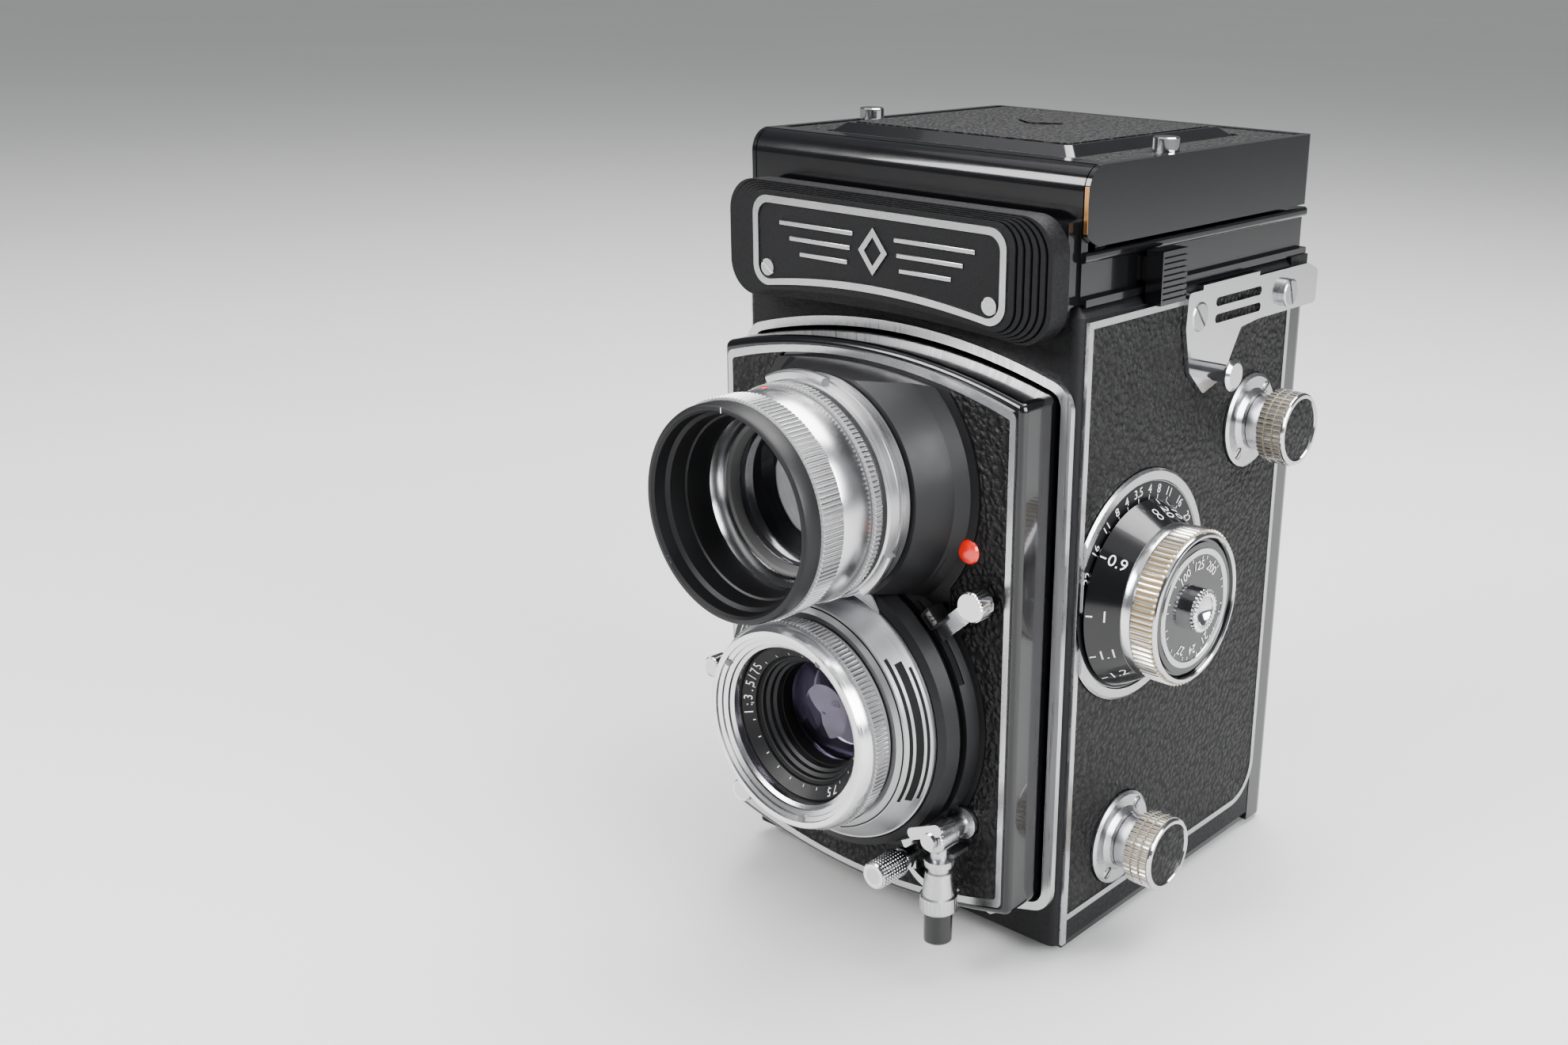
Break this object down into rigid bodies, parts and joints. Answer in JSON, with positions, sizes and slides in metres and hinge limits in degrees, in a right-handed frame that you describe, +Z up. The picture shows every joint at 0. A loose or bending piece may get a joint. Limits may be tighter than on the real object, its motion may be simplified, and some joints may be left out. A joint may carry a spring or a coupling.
{
  "type": "twin lens reflex camera",
  "caption": "Twin lens reflex camera for roll film: leather-covered box body, arched sliding lens panel, paired lenses, folding finder hood and side knobs.",
  "frame": {"origin": "centre of the tripod socket's mouth, in the plane the feet stand on", "axes": "+X towards the focusing knob (the camera's left-hand side from behind is -X), +Y towards the film and back door, +Z up; the lenses look along -Y"},
  "size_m": [0.1028, 0.1211, 0.1441],
  "materials": {
    "black_lacquer": "gloss black lacquer",
    "wrinkle_black": "black wrinkle paint",
    "matt_black": "matt black anti-reflection paint",
    "chrome": "satin chrome",
    "bright_chrome": "polished chrome",
    "brushed_aluminium": "vertically brushed",
    "leatherette": "pebbled black leatherette",
    "lens_glass": "coated glass",
    "screen_glass": "ground glass",
    "mirror_silver": "front-silvered mirror",
    "steel": "satin steel",
    "spool_black": "moulded black"
  },
  "bodies": {
    "body": {"body_casting": "wrinkle_black", "light_box": "matt_black", "mirror": "mirror_silver", "ground_glass": "screen_glass", "front_arc_frame": "brushed_aluminium", "side_trims": "chrome", "side_leathers": "leatherette", "spool_flanges": "chrome", "focus_scale": "black_lacquer", "strap_lugs": "bright_chrome", "slotted_screws": "chrome", "left_bosses": "chrome", "tripod_socket": "bright_chrome", "hinge_pins": "steel", "finder_base": "black_lacquer", "nameplate": "wrinkle_black"},
    "counter_disc": {"counter_disc": "spool_black"},
    "hood_release": {"hood_release": "black_lacquer"},
    "lower_roller": {"film_roller_lower": "steel"},
    "upper_roller": {"film_roller_upper": "steel"},
    "supply_spool": {"supply_spool": "spool_black"},
    "takeup_spool": {"takeup_spool": "spool_black"},
    "winding_knob": {"winding_knob": "chrome"},
    "upper_spool_knob": {"upper_spool_knob": "chrome"},
    "lower_spool_knob": {"lower_spool_knob": "chrome"},
    "focus_knob": {"focus_knob": "chrome"},
    "film_speed_dial": {"film_speed_dial": "black_lacquer"},
    "back": {"back_door": "black_lacquer", "door_leather": "leatherette", "feet": "bright_chrome"},
    "pressure_plate": {"pressure_plate": "matt_black"},
    "latch_bail": {"latch_bail": "bright_chrome"},
    "lid": {"hood_lid": "black_lacquer", "lid_pins": "bright_chrome"},
    "finder_door": {"finder_door": "black_lacquer"},
    "right_leaf": {"side_leaf_right": "matt_black"},
    "left_leaf": {"side_leaf_left": "matt_black"},
    "rear_leaf": {"rear_leaf": "matt_black"},
    "magnifier": {"magnifier_frame": "matt_black", "magnifier_lens": "lens_glass"},
    "standard": {"lens_panel": "black_lacquer", "panel_trim": "chrome", "panel_leather": "leatherette", "lens_shield": "black_lacquer", "viewing_bayonet": "chrome", "viewing_lens": "lens_glass", "shutter_housing": "black_lacquer", "shutter_plate": "chrome", "taking_ring": "bright_chrome", "taking_cell": "matt_black", "taking_lens": "lens_glass", "shutter_blades": "steel", "release_socket": "chrome"},
    "attachment": {"attachment_barrel": "bright_chrome", "attachment_lens": "lens_glass"},
    "speed_lever": {"speed_lever": "bright_chrome"},
    "aperture_lever": {"aperture_lever": "bright_chrome"},
    "timer_lever": {"timer_lever": "bright_chrome"},
    "cocking_lever": {"cocking_lever": "bright_chrome"},
    "sync_lock": {"sync_lock": "bright_chrome"}
  },
  "joints": [
    {"name": "focus_turn", "type": "hinge", "parent": "body", "child": "focus_knob", "pos_m": [0.042, -0.0136, 0.0668], "axis": [1, 0, 0], "range_deg": [0, 308]},
    {"name": "standard_slide", "type": "slide", "parent": "body", "child": "standard", "axis": [0, -1, 0], "range_m": [0, 0.0068]},
    {"name": "film_speed_turn", "type": "hinge", "parent": "focus_knob", "child": "film_speed_dial", "pos_m": [0.0515, -0.0136, 0.0668], "axis": [1, 0, 0], "range_deg": [-150, 150]},
    {"name": "winding_turn", "type": "hinge", "parent": "body", "child": "winding_knob", "pos_m": [-0.045, 0.0229, 0.0908], "axis": [1, 0, 0], "continuous": true},
    {"name": "takeup_turn", "type": "hinge", "parent": "body", "child": "takeup_spool", "pos_m": [0, 0.0229, 0.0908], "axis": [1, 0, 0], "continuous": true},
    {"name": "counter_turn", "type": "hinge", "parent": "body", "child": "counter_disc", "pos_m": [-0.0382, 0.004, 0.067], "axis": [1, 0, 0], "continuous": true},
    {"name": "supply_turn", "type": "hinge", "parent": "body", "child": "supply_spool", "pos_m": [0, -0.014, 0.0185], "axis": [1, 0, 0], "continuous": true},
    {"name": "lower_roller_turn", "type": "hinge", "parent": "body", "child": "lower_roller", "pos_m": [0, 0.0337, 0.0097], "axis": [1, 0, 0], "continuous": true},
    {"name": "upper_roller_turn", "type": "hinge", "parent": "body", "child": "upper_roller", "pos_m": [0, 0.0337, 0.0781], "axis": [1, 0, 0], "continuous": true},
    {"name": "upper_spool_pull", "type": "slide", "parent": "body", "child": "upper_spool_knob", "axis": [1, 0, 0], "range_m": [0, 0.006]},
    {"name": "lower_spool_pull", "type": "slide", "parent": "body", "child": "lower_spool_knob", "axis": [1, 0, 0], "range_m": [0, 0.006]},
    {"name": "back_swing", "type": "hinge", "parent": "body", "child": "back", "pos_m": [0, 0.044, 0.1136], "axis": [1, 0, 0], "range_deg": [0, 110]},
    {"name": "pressure_plate_give", "type": "slide", "parent": "back", "child": "pressure_plate", "axis": [0, 1, 0], "range_m": [0, 0.0008], "stiffness_N_per_m": 600},
    {"name": "latch_swing", "type": "hinge", "parent": "back", "child": "latch_bail", "pos_m": [0, -0.022, 0.00065], "axis": [1, 0, 0], "range_deg": [-100, 0]},
    {"name": "lid_open", "type": "hinge", "parent": "body", "child": "lid", "pos_m": [0, -0.0248, 0.1386], "axis": [1, 0, 0], "range_deg": [0, 90]},
    {"name": "right_leaf_rise", "type": "hinge", "parent": "body", "child": "right_leaf", "pos_m": [0.0316, 0.006, 0.1304], "axis": [0, 1, 0], "range_deg": [0, 90]},
    {"name": "left_leaf_rise", "type": "hinge", "parent": "body", "child": "left_leaf", "pos_m": [-0.0316, 0.006, 0.1304], "axis": [0, 1, 0], "range_deg": [-90, 0]},
    {"name": "rear_leaf_rise", "type": "hinge", "parent": "body", "child": "rear_leaf", "pos_m": [0, 0.0374, 0.1304], "axis": [1, 0, 0], "range_deg": [-90, 0]},
    {"name": "magnifier_swing", "type": "hinge", "parent": "lid", "child": "magnifier", "pos_m": [0, 0.033, 0.1376], "axis": [1, 0, 0], "range_deg": [0, 90]},
    {"name": "finder_door_swing", "type": "hinge", "parent": "lid", "child": "finder_door", "pos_m": [0, 0.0304, 0.1422], "axis": [1, 0, 0], "range_deg": [-90, 0]},
    {"name": "hood_release_slide", "type": "slide", "parent": "body", "child": "hood_release", "axis": [0, -1, 0], "range_m": [0, 0.004], "stiffness_N_per_m": 150},
    {"name": "attachment_turn", "type": "hinge", "parent": "standard", "child": "attachment", "pos_m": [0, -0.066, 0.0873], "axis": [0, 1, 0], "range_deg": [0, 45]},
    {"name": "speed_set", "type": "hinge", "parent": "standard", "child": "speed_lever", "pos_m": [0, -0.045, 0.0453], "axis": [0, 1, 0], "range_deg": [-6, 14]},
    {"name": "aperture_set", "type": "hinge", "parent": "standard", "child": "aperture_lever", "pos_m": [0, -0.045, 0.0453], "axis": [0, 1, 0], "range_deg": [-12, 12]},
    {"name": "self_timer_set", "type": "hinge", "parent": "standard", "child": "timer_lever", "pos_m": [0, -0.045, 0.0453], "axis": [0, 1, 0], "range_deg": [-15, 0]},
    {"name": "shutter_cock", "type": "hinge", "parent": "standard", "child": "cocking_lever", "pos_m": [0, -0.045, 0.0453], "axis": [0, 1, 0], "range_deg": [-8, 28], "stiffness_Nm_per_rad": 0.05},
    {"name": "sync_lock_turn", "type": "hinge", "parent": "standard", "child": "sync_lock", "pos_m": [0.0243, -0.0525, 0.0284], "axis": [0, 1, 0], "range_deg": [-25, 25]}
  ],
  "couplings": [
    {"joint": "focus_turn", "follows": "standard_slide", "rad_per_m": 790.5},
    {"joint": "takeup_turn", "follows": "winding_turn", "ratio": 1},
    {"joint": "counter_turn", "follows": "winding_turn", "ratio": 0.08},
    {"joint": "right_leaf_rise", "follows": "lid_open", "ratio": 1},
    {"joint": "left_leaf_rise", "follows": "lid_open", "ratio": -1},
    {"joint": "rear_leaf_rise", "follows": "lid_open", "ratio": -1},
    {"joint": "magnifier_swing", "follows": "lid_open", "ratio": 1}
  ]
}
